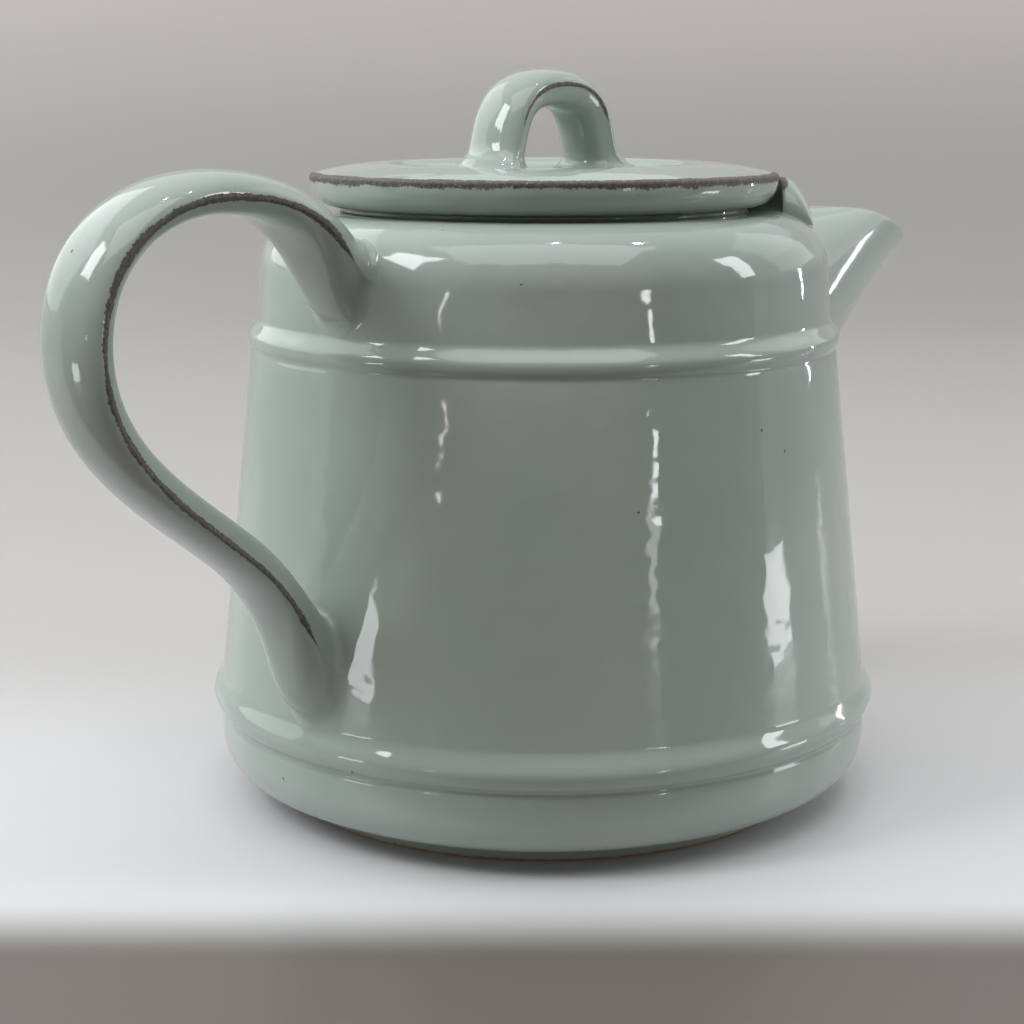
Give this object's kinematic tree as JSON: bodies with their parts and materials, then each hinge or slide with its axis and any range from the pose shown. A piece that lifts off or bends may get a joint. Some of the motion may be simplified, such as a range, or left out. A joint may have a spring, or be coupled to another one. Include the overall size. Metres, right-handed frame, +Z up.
{
  "type": "teapot",
  "caption": "Tapered lidded stoneware teapot with raised bands, strap loop handle, beak spout and a flat lid with a loop knob.",
  "frame": {"origin": "centre of the foot ring's underside, on the pot's axis, on the surface the pot stands on", "axes": "+Z up along the pot's axis, +X towards the pouring lip, the handle towards -X, so XZ is the mirror plane"},
  "size_m": [0.278, 0.1502, 0.16],
  "materials": {
    "sage_glaze": "glossy sage green glaze over stoneware, rubbed dark along the sharp edges",
    "bare_clay": "dry unglazed stoneware"
  },
  "bodies": {
    "pot": {"pot_wall": "sage_glaze", "pot_floor": "sage_glaze", "foot_ring": "bare_clay", "mouth_rim": "bare_clay", "handle": "sage_glaze", "spout": "sage_glaze", "spout_guard": "sage_glaze"},
    "lid": {"lid": "sage_glaze", "lid_collar": "sage_glaze", "lid_knob": "sage_glaze"}
  },
  "joints": [
    {"name": "lid_lift", "type": "slide", "parent": "pot", "child": "lid", "axis": [0, 0, 1], "range_m": [0, 0.06]}
  ]
}
